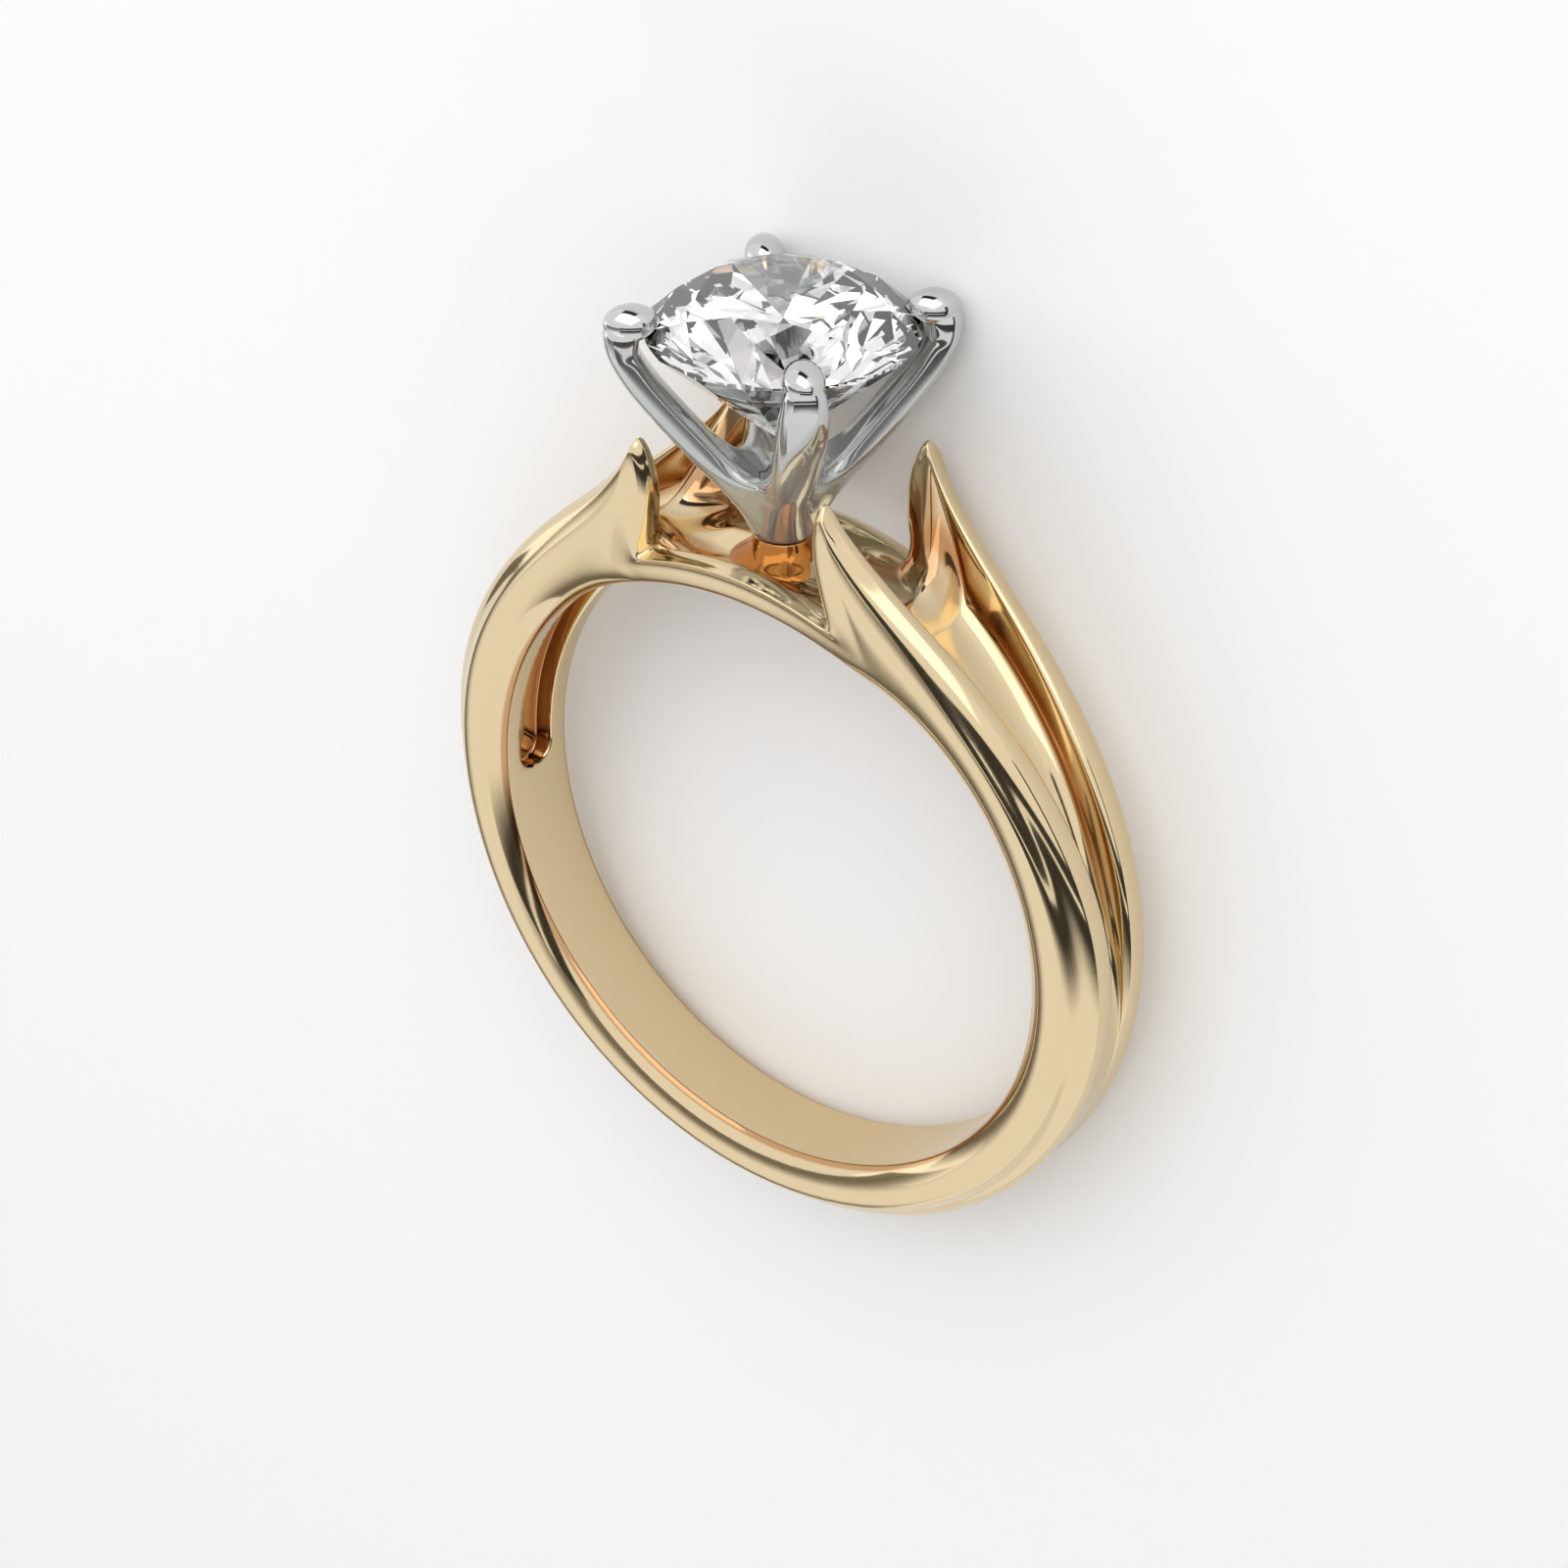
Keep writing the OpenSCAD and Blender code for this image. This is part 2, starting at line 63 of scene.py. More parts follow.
# Stations of one quarter, from opposite the stone round to under it, in mm and degrees:
# angle at the hole, angle at the waist, angle and height of the outline, half widths at
# the crease, widest, ridge and channel edge, edge drop, heights of channel foot, floor, middle
PLAN = np.array([
    [180, 180, 180, 1.65, 0.88, 1.50, 1.14, 0.50, 0, 1.63, 1.65, 1.65],
    [150, 150, 150, 1.65, 0.88, 1.50, 1.14, 0.50, 0, 1.63, 1.65, 1.65],
    [125, 125, 125, 1.70, 0.90, 1.56, 1.14, 0.48, 0, 1.67, 1.69, 1.69],
    [108, 108, 108, 1.75, 0.93, 1.62, 1.14, 0.42, 0, 1.71, 1.73, 1.73],
    [94, 94, 94, 1.84, 0.97, 1.67, 1.18, 0.34, 0, 1.70, 1.67, 1.67],
    [83, 83, 83, 1.89, 1.00, 1.71, 1.27, 0.34, 0, 1.37, 1.33, 1.33],
    [73, 73, 73, 1.90, 1.02, 1.76, 1.40, 0.46, 0, 1.07, 0.99, 0.97],
    [63, 63, 63, 1.87, 1.04, 1.81, 1.54, 0.60, 0, 1.03, 0.93, 0.91],
    [54, 54, 53.5, 1.87, 1.07, 1.86, 1.68, 0.76, 0, 1.03, 0.93, 0.91],
    [46, 46.5, 44.5, 1.93, 1.13, 1.91, 1.79, 0.95, 0, 1.03, 0.93, 0.91],
    [39.5, 40, 36, 2.09, 1.22, 1.96, 1.89, 1.15, 0, 1.03, 0.93, 0.91],
    [34, 35, 28, 2.33, 1.34, 1.99, 2.02, 1.36, 0, 1.03, 0.93, 0.91],
    [30, 31.3, 21.5, 2.73, 1.45, 2.02, 2.16, 1.55, 0, 1.03, 0.93, 0.91],
    [27, 28.7, 16.8, 3.25, 1.54, 2.03, 2.29, 1.72, 0, 1.03, 0.93, 0.91],
    [24.8, 27, 14, 3.75, 1.60, 2.03, 2.37, 1.86, 0, 1.02, 0.93, 0.91],
    [23.6, 26, 13, 4.07, 1.64, 2.03, 2.40, 1.92, 0, 1.01, 0.92, 0.91],
    [22.6, 25.2, 12.4, 3.75, 1.67, 2.03, 2.38, 1.84, 0, 1.00, 0.92, 0.91],
    [21.6, 24.2, 12.3, 3.15, 1.69, 2.03, 2.33, 1.75, 0, 0.97, 0.91, 0.91],
    [20.6, 23, 12.9, 2.40, 1.70, 2.03, 2.22, 1.66, 0, 0.93, 0.89, 0.91],
    [19.4, 21.6, 15.3, 1.45, 1.72, 2.03, 2.04, 1.52, 0.02, 0.85, 0.83, 0.91],
    [17.8, 19.8, 18.0, 0.84, 1.74, 2.04, 1.93, 1.42, 0.08, 0.73, 0.73, 0.91],
    [14.5, 15.5, 15.2, 0.87, 1.76, 2.05, 1.98, 1.34, 0.16, 0.57, 0.57, 0.89],
    [9.8, 10, 10, 0.91, 1.79, 2.05, 2.04, 1.26, 0.24, 0.49, 0.47, 0.85],
    [4.9, 5, 5, 0.94, 1.80, 2.05, 2.05, 1.22, 0.26, 0.47, 0.45, 0.81],
    [0, 0, 0, 0.95, 1.80, 2.05, 2.05, 1.20, 0.26, 0.47, 0.45, 0.80],
])
# How the polished skin differs from the plan, in mm: half width added at the crease, half width
# taken off the sides, height taken off the outline
CREASE_OUT, SIDE_OFF, OUTLINE_OFF = 0.10, 0.003, 0.028
# Longest steering distances from the outline to its ridge and from the channel edge to its lip
RIDGE_REACH, LIP_REACH = 0.42, 0.12


def lay_down(points):
    """Upright millimetres to metres of the ring on its back: turned about X, then scaled."""
    x, y, z = np.moveaxis(points, -1, 0)
    s, c = np.sin(TILT), np.cos(TILT)
    return np.stack([x, y * s + z * c, -y * c + z * s], -1) * 0.001


def spline_weights(f):
    """Weights of four neighbours on a uniform cubic B-spline, at the share f between the middle two."""
    return np.stack([(1 - f) ** 3, 3 * f ** 3 - 6 * f ** 2 + 4,
                     -3 * f ** 3 + 3 * f ** 2 + 3 * f + 1, f ** 3]) / 6


def along_spline(values, t):
    """Cubic B-spline through padded rows: row 1 is reached at t = 0."""
    i = np.clip(np.floor(t).astype(int), 0, len(values) - 4)
    w = spline_weights(t - i)
    return sum(w[k][(...,) + (None,) * (values.ndim - 1)] * values[i + k] for k in range(4))


def polar(angle, radius):
    """Point of the plane X, Z at an angle from straight up, as (x, z)."""
    a = np.radians(angle)
    return np.stack([radius * np.sin(a), radius * np.cos(a)], -1)


def at_depth(xz, y):
    """Point (x, y, z) from (x, z) and a depth."""
    return np.stack([xz[..., 0], np.broadcast_to(y, xz.shape[:-1]), xz[..., 1]], -1)


def mix(a, b, share):
    """Straight-line mix of two values or points."""
    return a + (b - a) * share


def stations(t):
    """The plan's columns at t, smoothed, mirrored past both ends of the quarter."""
    below, above = PLAN[1].copy(), PLAN[-2].copy()
    below[:3] = 360 - below[:3]
    above[:3] = -above[:3]
    return along_spline(np.vstack([below, PLAN, above]), t).T


def skin_net(t):
    """Steering points of the front skin at t (rows, 20, 3): each is a mix of two points of the plan,
    some of them moved along the leaf, at a half width mixed in the same way."""
    (hole_a, waist_a, outer_a, outer_h, crease, widest, ridge, inner, drop,
     foot_h, floor_h, middle_h) = stations(t)
    crease, widest, outer_h = crease + CREASE_OUT, widest - SIDE_OFF, outer_h - OUTLINE_OFF
    hole, waist = polar(hole_a, BORE_R), polar(waist_a, WAIST_R)
    outer = polar(outer_a, BORE_R + outer_h)
    span = np.linalg.norm(outer - waist, axis=-1)
    out = (outer - waist) / span[:, None]
    near = np.minimum(RIDGE_REACH, 0.34 * span)[:, None] * out
    edge = outer - out * drop[:, None]
    foot, side, middle = (polar(waist_a, BORE_R + h) for h in (foot_h, floor_h, middle_h))
    rise = np.maximum(np.linalg.norm(edge - foot, axis=-1), 0.001)
    lip = np.minimum(LIP_REACH / rise, 0.3)[:, None]
    rows = [
        # from inside the finger hole out to the waist
        (polar(hole_a, BORE_R - 0.14), crease),
        (mix(hole, waist, 0.14), mix(crease, widest, 0.34)),
        (mix(hole, waist, 0.5), mix(crease, widest, 0.66)),
        (mix(hole, waist, 0.97), mix(crease, widest, 0.90)),
        # up the front face, slightly crowned
        (mix(waist, outer, 0.25), mix(widest, ridge, 0.25) + 0.07),
        (mix(waist, outer, 0.55), mix(widest, ridge, 0.55) + 0.16),
        # over the ridge
        (outer - near, ridge + 0.04),
        (outer - near * 0.35, ridge - 0.07),
        (outer + out * 0.02, ridge - 0.25),
        # across the top to the channel's edge
        (mix(outer, edge, 0.3) + out * 0.06, mix(ridge, inner, 0.45)),
        (mix(outer, edge, 0.7) + out * 0.05, mix(ridge, inner, 0.74)),
        (edge, inner + 0.06),
        # down the channel's wall
        (mix(edge, foot, lip), inner - 0.01),
        (mix(edge, foot, 0.42), inner - 0.04),
        (mix(edge, foot, 0.74), inner * 0.90),
        (mix(edge, foot, 0.95), inner * 0.74),
        # along its floor to the middle
        (mix(foot, side, 0.6), inner * 0.50),
        (mix(side, middle, 0.6), inner * 0.25),
        (middle, inner * 0.1),
        (middle, 0 * inner),
    ]
    return np.stack([at_depth(xz, -y) for xz, y in rows], 1)


def curve(net, u):
    """Cubic B-spline along each row of steering points, at u (rows, columns); it ends level at the last."""
    run = np.concatenate([net[:, :1], net[:, :1], net, net[:, -2:-1] * [1, -1, 1]], 1)
    i = np.clip(np.floor(u).astype(int), 0, net.shape[1] - 1)
    w = spline_weights(u - i)
    rows = np.arange(len(net))[:, None]
    return sum(w[k][..., None] * run[rows, i + k] for k in range(4))


def spread(stops, counts):
    """Values running through the stops, with the given number of equal steps between each pair."""
    parts = [np.linspace(a, b, n, endpoint=False) for a, b, n in zip(stops, stops[1:], counts)]
    return np.concatenate(parts + [stops[-1:]])


def smooth_step(x):
    """Soft step from 0 to 1."""
    x = np.clip(x, 0, 1)
    return x * x * (3 - 2 * x)


def window(x, start, rise, end, fall):
    """Soft-ended window: it rises to 1 over rise after start, and falls back to 0 over fall before end."""
    return smooth_step((x - start) / rise) * smooth_step((end - x) / fall)


# Rim of the hollow inside each shoulder: angle that gives its height on the hole's wall, half width
HOLLOW_RIM = np.array([[89, 0.6], [75, 0.61], [64, 0.66], [54, 0.73], [45, 0.81], [36, 0.91],
                       [28, 1.0], [21, 1.02], [16, 0.92], [13.5, 0.75], [12, 0.45]])
HOLLOW_HEIGHTS = BORE_R * np.cos(np.radians(HOLLOW_RIM[:, 0]))
HOLLOW_DEPTH = 0.5
HOLLOW_WALL = 0.09
# Least half width at which the grid's columns still follow the hollow's rim at its lower end
LEAST_GUIDE = 0.25
# Strip left between the last column of the hole's wall and the crease
CREASE_GAP = 0.07


def hollow_width(z):
    """Half width of the hollow at a height, with a half circle below its lower end."""
    low = HOLLOW_RIM[0, 1] ** 2 - (z - HOLLOW_HEIGHTS[0]) ** 2
    return np.where(z < HOLLOW_HEIGHTS[0], np.sqrt(np.maximum(low, 0)),
                    np.interp(z, HOLLOW_HEIGHTS, HOLLOW_RIM[:, 1]))


def hollow_depth(y, z):
    """Depth of the hollow at a point of the hole: full inside its rim, none outside, a soft step between."""
    low_z, r = HOLLOW_HEIGHTS[0], HOLLOW_RIM[0, 1]
    inside = np.where(z < low_z, r - np.hypot(y, z - low_z), hollow_width(z) - np.abs(y))
    inside = np.minimum(inside, HOLLOW_HEIGHTS[-1] - z)
    return HOLLOW_DEPTH * smooth_step(inside / HOLLOW_WALL + 0.5)


def hole_wall(hole_a, crease):
    """Wall of the finger hole from its middle to the crease, sunk by the hollow's depth, and that depth:
    4 columns, 7 close together across the hollow's rim, and 4 more."""
    z = BORE_R * np.cos(np.radians(hole_a))[:, None]
    guide = np.maximum(hollow_width(z), LEAST_GUIDE)
    guide = np.where(z > HOLLOW_HEIGHTS[-1], HOLLOW_RIM[-1, 1], guide)
    wall = HOLLOW_WALL * 0.5
    y = np.concatenate([(guide - wall) * np.linspace(0, 1, 5)[:-1], guide + wall * np.linspace(-1, 1, 7),
                        mix(guide + wall, crease - CREASE_GAP, np.linspace(0, 1, 5)[1:])], 1)
    depth = hollow_depth(y, z)
    return at_depth(polar(np.broadcast_to(hole_a[:, None], y.shape), BORE_R + depth), -y), depth


def hole_crossing(net):
    """Where the skin of each row leaves the hole: the first of many tries that lies at the hole's radius."""
    tries = np.linspace(0, 3, 301)
    probe = curve(net, np.broadcast_to(tries, (len(net), len(tries))))
    return tries[np.argmax(np.hypot(probe[..., 0], probe[..., 2]) >= BORE_R, axis=1)][:, None]


# Columns of the hole's rounded rim
RIM_COLUMNS = 4


def rounded_rim(wall, skin):
    """Rounded edge: a quadratic curve from the hole's wall to the skin, drawn towards their corner."""
    f = np.linspace(0, 1, RIM_COLUMNS + 2)[1:-1][None, :, None]
    return (1 - f) ** 2 * wall[:, -1:] + 2 * f * (1 - f) * skin[:, :1] + f ** 2 * skin[:, 2:3]


# Times that the soft corner of the bridge is relaxed
RELAXING_PASSES = 200


def relaxed(half, soft):
    """Grid whose points moved, each pass, by their softness towards the mean of their four neighbours."""
    for _ in range(RELAXING_PASSES):
        beyond = np.concatenate([half[:, 1:], half[:, -2:-1] * [1, -1, 1]], 1)
        across = (np.roll(half, 1, 1) + beyond) / 2
        along = (np.concatenate([half[1:2], half[:-1]]) + np.concatenate([half[1:], half[-2:-1]])) / 2
        half = half + soft[..., None] * ((across + along) / 2 - half)
    return half


# Rows of the grid: stops along the plan and the steps between them; columns: the same across the
# skin's net, up to its middle
ROW_STOPS, ROW_STEPS = [0, 3.6, 3.98, 4.56, 5.2, 13, 20, 24], [28, 5, 34, 8, 30, 50, 15]
COLUMN_STOPS, COLUMN_STEPS = [0, 2.4, 6, 10, 13.6, 16, 20], [7, 9, 20, 14, 9, 8]
MIDDLE_U = 20
# Most painted shade that a point shows, a darker orange standing in for shade and for light bounced between
# gold faces, and the parts of it on the leaves' inner sides and at the hole's rim
MOST_PAINTED_SHADE, LEAF_PART, RIM_PART = 0.8, 0.75, 0.8


def shank_surface():
    """Closed grid of the shank (rows round the ring, columns round the section), upright, in mm, and how much
    painted shade each point shows. One quarter is worked out, then mirrored both ways."""
    t = spread(ROW_STOPS, ROW_STEPS)
    net = skin_net(t)
    first = hole_crossing(net)
    share = spread(COLUMN_STOPS, COLUMN_STEPS) / MIDDLE_U
    skin = curve(net, first + (MIDDLE_U - first) * share)
    wall, depth = hole_wall(stations(t)[0], -skin[:, :1, 1])
    columns = wall.shape[1]
    half = np.concatenate([wall, rounded_rim(wall, skin), skin[:, 2:]], 1)
    u = np.concatenate([np.zeros(columns + RIM_COLUMNS), MIDDLE_U * share[2:]])
    t = t[:, None]

    # the corner between the leaves' inner walls and the bridge is rubbed soft
    soft = smooth_step((u - 11.8) / 1.2) * window(t, 13, 2, 22, 1.5)
    half = relaxed(half, soft)

    # painted shade: the channel's wall, the inner sides of the leaves and the hollow from a fifth of its
    # depth on are painted towards a darker orange that stands in for shade and for light bounced between gold
    # faces
    channel = window(u, 12.9, 1.2, 15.6, 1) * smooth_step((t - 5) / 2)
    leaves = window(u, 11.7, 1.3, 17.6, 1.6) * window(t, 13.5, 2, 23, 1.5)
    deep = np.maximum(channel, LEAF_PART * leaves)
    deep[:, :columns] = np.maximum(deep[:, :columns], smooth_step(depth / HOLLOW_DEPTH * 1.5 - 0.3))
    # painted reflection: the hole's rounded rim gets a fixed share of the darker orange, as a painted
    # reflection line along the crease
    deep[:, columns:columns + RIM_COLUMNS] = RIM_PART

    section = np.concatenate([half, half[:, -2:0:-1] * [1, -1, 1]], 1)
    deep = np.concatenate([deep, deep[:, -2:0:-1]], 1)
    return (np.concatenate([section, section[-2:0:-1] * [-1, 1, 1]], 0),
            MOST_PAINTED_SHADE * np.concatenate([deep, deep[-2:0:-1]], 0))


def grid_faces(rows, columns, closed_rows=True):
    """Quads of a grid whose columns close round, and whose rows do too if wanted."""
    r, c = np.meshgrid(np.arange(rows if closed_rows else rows - 1), np.arange(columns), indexing="ij")
    r2, c2 = (r + 1) % rows, (c + 1) % columns
    quads = np.stack([r * columns + c, r2 * columns + c, r2 * columns + c2, r * columns + c2], -1)
    return quads.reshape(-1, 4)


def turn_outwards(faces, points):
    """The same quads, turned round if the body that they close has a negative volume."""
    volume = 0
    for corners in ([0, 1, 2], [0, 2, 3]):
        p = points[faces[:, corners]]
        volume += np.einsum("ij,ij->i", p[:, 0], np.cross(p[:, 1], p[:, 2])).sum()
    return faces if volume > 0 else faces[:, ::-1]


def add_mesh(name, points, faces, smooth=True):
    """A mesh object at the origin from upright millimetres and faces of any size."""
    mesh = bpy.data.meshes.new(name)
    mesh.from_pydata(lay_down(points).tolist(), [], [list(map(int, f)) for f in faces])
    mesh.validate()
    mesh.polygons.foreach_set("use_smooth", [smooth] * len(mesh.polygons))
    piece = bpy.data.objects.new(name, mesh)
    bpy.context.collection.objects.link(piece)
    return piece


def mark_points(mesh, name, values):
    """Keep a number at each point of a mesh, for its material to read."""
    numbers = np.asarray(values).reshape(-1).astype(np.float32)
    mesh.attributes.new(name, "FLOAT", "POINT").data.foreach_set("value", numbers)


def new_material(name):
    """A material with an empty tree but for its Principled shader and output."""
    material = bpy.data.materials.new(name)
    material.use_nodes = True
    return material, material.node_tree, material.node_tree.nodes["Principled BSDF"]


def polish_group():
    """Fine marks left by the polishing wheel: uneven roughness and shallow scratches across the surface."""
    group = bpy.data.node_groups.new("polish", "ShaderNodeTree")
    for name, start in (("Scale", 1500), ("Smoothest", 0.05), ("Roughest", 0.12)):
        group.interface.new_socket(name, in_out="INPUT", socket_type="NodeSocketFloat").default_value = start
    for name in ("Roughness", "Height", "Cloud"):
        group.interface.new_socket(name, in_out="OUTPUT", socket_type="NodeSocketFloat")
    add, wire = group.nodes.new, group.links.new
    inputs, outputs = add("NodeGroupInput"), add("NodeGroupOutput")
    place, stretch = add("ShaderNodeTexCoord"), add("ShaderNodeMapping")
    stretch.inputs["Scale"].default_value = (1, 6, 1)
    clouds, scratches, span = add("ShaderNodeTexNoise"), add("ShaderNodeTexNoise"), add("ShaderNodeMapRange")
    clouds.inputs["Scale"].default_value = 260
    clouds.inputs["Detail"].default_value = 3
    scratches.inputs["Detail"].default_value = 2
    wire(place.outputs["Object"], clouds.inputs["Vector"])
    wire(place.outputs["Object"], stretch.inputs["Vector"])
    wire(stretch.outputs["Vector"], scratches.inputs["Vector"])
    wire(inputs.outputs["Scale"], scratches.inputs["Scale"])
    span.inputs["From Min"].default_value = 0.3
    span.inputs["From Max"].default_value = 0.7
    wire(clouds.outputs["Fac"], span.inputs["Value"])
    wire(inputs.outputs["Smoothest"], span.inputs["To Min"])
    wire(inputs.outputs["Roughest"], span.inputs["To Max"])
    wire(span.outputs["Result"], outputs.inputs["Roughness"])
    wire(scratches.outputs["Fac"], outputs.inputs["Height"])
    wire(clouds.outputs["Fac"], outputs.inputs["Cloud"])
    return group


POLISH = polish_group()
# Depth of the scratches in metres, and how strongly they turn the light
SCRATCH_DEPTH, SCRATCH_STRENGTH = 2e-6, 0.06


def polished(tree, shader, scale, smoothest, roughest):
    """Make a shader metal, with roughness and normal from the polish marks."""
    shader.inputs["Metallic"].default_value = 1
    marks, bump = tree.nodes.new("ShaderNodeGroup"), tree.nodes.new("ShaderNodeBump")
    marks.node_tree = POLISH
    for name, value in (("Scale", scale), ("Smoothest", smoothest), ("Roughest", roughest)):
        marks.inputs[name].default_value = value
    bump.inputs["Strength"].default_value = SCRATCH_STRENGTH
    bump.inputs["Distance"].default_value = SCRATCH_DEPTH
    tree.links.new(marks.outputs["Height"], bump.inputs["Height"])
    tree.links.new(marks.outputs["Roughness"], shader.inputs["Roughness"])
    tree.links.new(bump.outputs["Normal"], shader.inputs["Normal"])
    return marks


def two_tones(tree, share, first, second):
    """Colour that goes from the first to the second with the share; the first may be a colour or a socket."""
    tint = tree.nodes.new("ShaderNodeMix")
    tint.data_type = "RGBA"
    tree.links.new(share, tint.inputs["Factor"])
    if isinstance(first, tuple):
        tint.inputs["A"].default_value = (*first, 1)
    else:
        tree.links.new(first, tint.inputs["A"])
    tint.inputs["B"].default_value = (*second, 1)
    return tint.outputs["Result"]


# Open gold, and the darker orange painted as shade and bounced light in hollows and channels
GOLD, PAINTED_SHADE_GOLD = (0.72, 0.58, 0.362), (0.42, 0.16, 0.035)

grid, deep = shank_surface()
points = grid.reshape(-1, 3)
shank = add_mesh("band_and_leaves", points, turn_outwards(grid_faces(*grid.shape[:2]), points))
mark_points(shank.data, "deep", deep)
gold, tree, shader = new_material("yellow_gold")
polished(tree, shader, 1500, 0.07, 0.11)
# the painted shade kept at the points mixes the gold towards that darker orange
down = tree.nodes.new("ShaderNodeAttribute")
down.attribute_name = "deep"
tree.links.new(two_tones(tree, down.outputs["Fac"], GOLD, PAINTED_SHADE_GOLD), shader.inputs["Base Color"])
shank.data.materials.append(gold)
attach(shank, "root")
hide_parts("shank")


# Post. Turned yellow gold stub soldered to the bridge, flaring out at its root;
# the head stands on its top.

FOOT_Z = 9.82
# Radius and height over the head's foot, from inside the bridge up to the top
POST = np.array([[0, -0.9], [0.8, -0.9], [1.45, -0.9], [1.32, -0.68], [1.12, -0.55], [0.9, -0.4],
                 [0.78, -0.22], [0.74, -0.06], [0.68, -0.02], [0, -0.02]])
POST_ROWS, POST_STEPS = 50, 96
# Run of the rows below the top, where on it the painted shade begins, and over how much it sets in
POST_RUN, SHADE_FROM, SHADE_OVER = 1.1, 0.05, 0.3


def lathe(profile, steps):
    """Surface of revolution about the stone's axis from (radius, height) rows."""
    a = np.linspace(0, 2 * np.pi, steps, endpoint=False)
    r, z = profile[:, :1], profile[:, 1:]
    return np.stack([r * np.cos(a), r * np.sin(a), np.broadcast_to(z, (len(profile), steps))], -1)


def smooth_line(points, steps):
    """Cubic B-spline along the points, held at both ends."""
    run = np.vstack([points[:1], points[:1], points, points[-1:], points[-1:]])
    return along_spline(run, np.linspace(0, len(points) + 1 - 1e-9, steps))


points = lathe(smooth_line(POST + [0, FOOT_Z], POST_ROWS), POST_STEPS).reshape(-1, 3)
post = add_mesh("post", points, turn_outwards(grid_faces(POST_ROWS, POST_STEPS, closed_rows=False), points))
# painted shade: the post is painted in the darker orange up to a soft end just under the head
below_top = np.linspace(POST_RUN, 0, POST_ROWS)
shade = smooth_step((below_top - SHADE_FROM) / SHADE_OVER)
mark_points(post.data, "deep", np.repeat(shade, POST_STEPS))
post.data.materials.append(gold)
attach(post, "root")
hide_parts("shank")


# Setting. White gold head, cast in one piece and polished: a small cup that opens
# into four leaning prongs, with a soft notch between each two, and each prong ends
# in a rounded bead pushed over the stone's edge.

# Size of the stone that the beads hold: girdle radius, height over the foot, thickness, crown's slope
GIRDLE_R, GIRDLE_H, GIRDLE_T = 3.33, 5.43, 0.17
CROWN = np.radians(35.5)

# Cage of one quarter, in its own frame: x out along the prong, y across, h above the foot.
# Outer sheet below the notch: x of the middle column, (x, y) of the edge column, distance
# from the axis at the notch column, heights of the three
CUP = np.array([
    [0.80, 0.73, 0.33, 0.80, 0.00, 0.00, 0.00],
    [0.86, 0.79, 0.35, 0.85, 0.12, 0.12, 0.12],
    [1.03, 0.94, 0.39, 0.95, 0.48, 0.48, 0.48],
    [1.33, 1.20, 0.43, 1.07, 0.92, 0.92, 0.95],
    [1.62, 1.50, 0.46, 1.20, 1.30, 1.32, 1.40],
])
# The cup's underside, one row in from its edge, and the inner sheet of its bowl, from the notch down
CUP_BASE = [0.62, 0.57, 0.25, 0.62, 0, 0, 0]
BOWL = np.array([
    [0.98, 0.92, 0.36, 0.80, 1.86, 1.84, 1.66],
    [0.58, 0.55, 0.24, 0.52, 1.52, 1.52, 1.46],
])
BOWL_FLOOR = 1.38
# Prong: outer line (x, h), thickness, half width
PRONG = np.array([
    [1.88, 1.64, 0.80, 0.52],
    [2.14, 1.97, 0.78, 0.55],
    [2.57, 2.52, 0.78, 0.57],
    [3.22, 3.34, 0.78, 0.60],
    [3.60, 3.84, 0.78, 0.61],
    [3.90, 4.30, 0.78, 0.61],
    [4.13, 4.75, 0.78, 0.59],
    [4.25, 5.05, 0.79, 0.56],
])
# Direction of the prong where it enters its bead
PRONG_TOP = [0.05, 1]
# Prong's end inside its bead: rows of outer x, inner x, outer h, inner h, half width
END = np.array([
    [4.30, 3.42, 5.36, 5.42, 0.53],
    [4.30, 3.38, 5.62, 5.62, 0.49],
    [4.18, 3.46, 5.84, 5.82, 0.37],
    [3.92, 3.60, 5.95, 5.95, 0.14],
])
# Middle of the cap that closes it: height, dip of its two side points, and their share of the half width
END_TOP, END_DIP, END_SIDE = 5.97, 0.02, 0.55
# Twelve points round a prong, from its outer middle: shares of the half width and of the thickness
ROUND_ACROSS = np.array([0, 0.66, 0.96, 1.02, 0.98, 0.7, 0, -0.7, -0.98, -1.02, -0.96, -0.66])
ROUND_THROUGH = np.array([-0.03, 0.03, 0.22, 0.52, 0.84, 0.97, 1, 0.97, 0.84, 0.52, 0.22, 0.03])
# Notch: the three points across its rounded rim, distance from the axis and height
NOTCH = np.array([[1.33, 1.72], [1.15, 1.86], [0.98, 1.78]])
# The three points above them (x, y, h), drawn towards the notch so that it opens in a soft U
ABOVE_NOTCH = np.array([[1.68, 0.60, 1.93], [1.44, 0.62, 2.08], [1.24, 0.58, 2.10]])
# Bead: middle (x, h), half length towards the stone, half width, half height
BEAD = np.array([3.61, 5.76, 0.68, 0.51, 0.47])
# Rows and columns of a bead, its clearance over the stone's crown, and the height where that ends
BEAD_ROWS, BEAD_STEPS, BEAD_GAP, BEAD_TOP = 33, 48, 0.03, 6.2


def tube_loops():
    """Rows of the prong and its end, twelve points round: outer middle, one side, inner middle, back."""
    line = PRONG[:, :2]
    ahead = np.vstack([line[1:], 2 * line[-1:] - line[-2:-1]])
    behind = np.vstack([line[:1], line[:-1]])
    lean = ahead - behind
    lean[-1] = PRONG_TOP
    lean /= np.linalg.norm(lean, axis=1)[:, None]
    inward = np.stack([-lean[:, 1], lean[:, 0]], -1)
    outer = np.concatenate([line, END[:, [0, 2]]])
    inner = np.concatenate([line + inward * PRONG[:, 2:3], END[:, [1, 3]]])
    half = np.concatenate([PRONG[:, 3], END[:, 4]])[:, None]
    through = ROUND_THROUGH[None, :, None]
    xh = outer[:, None] * (1 - through) + inner[:, None] * through
    return np.stack([xh[..., 0], half * ROUND_ACROSS, xh[..., 1]], -1)


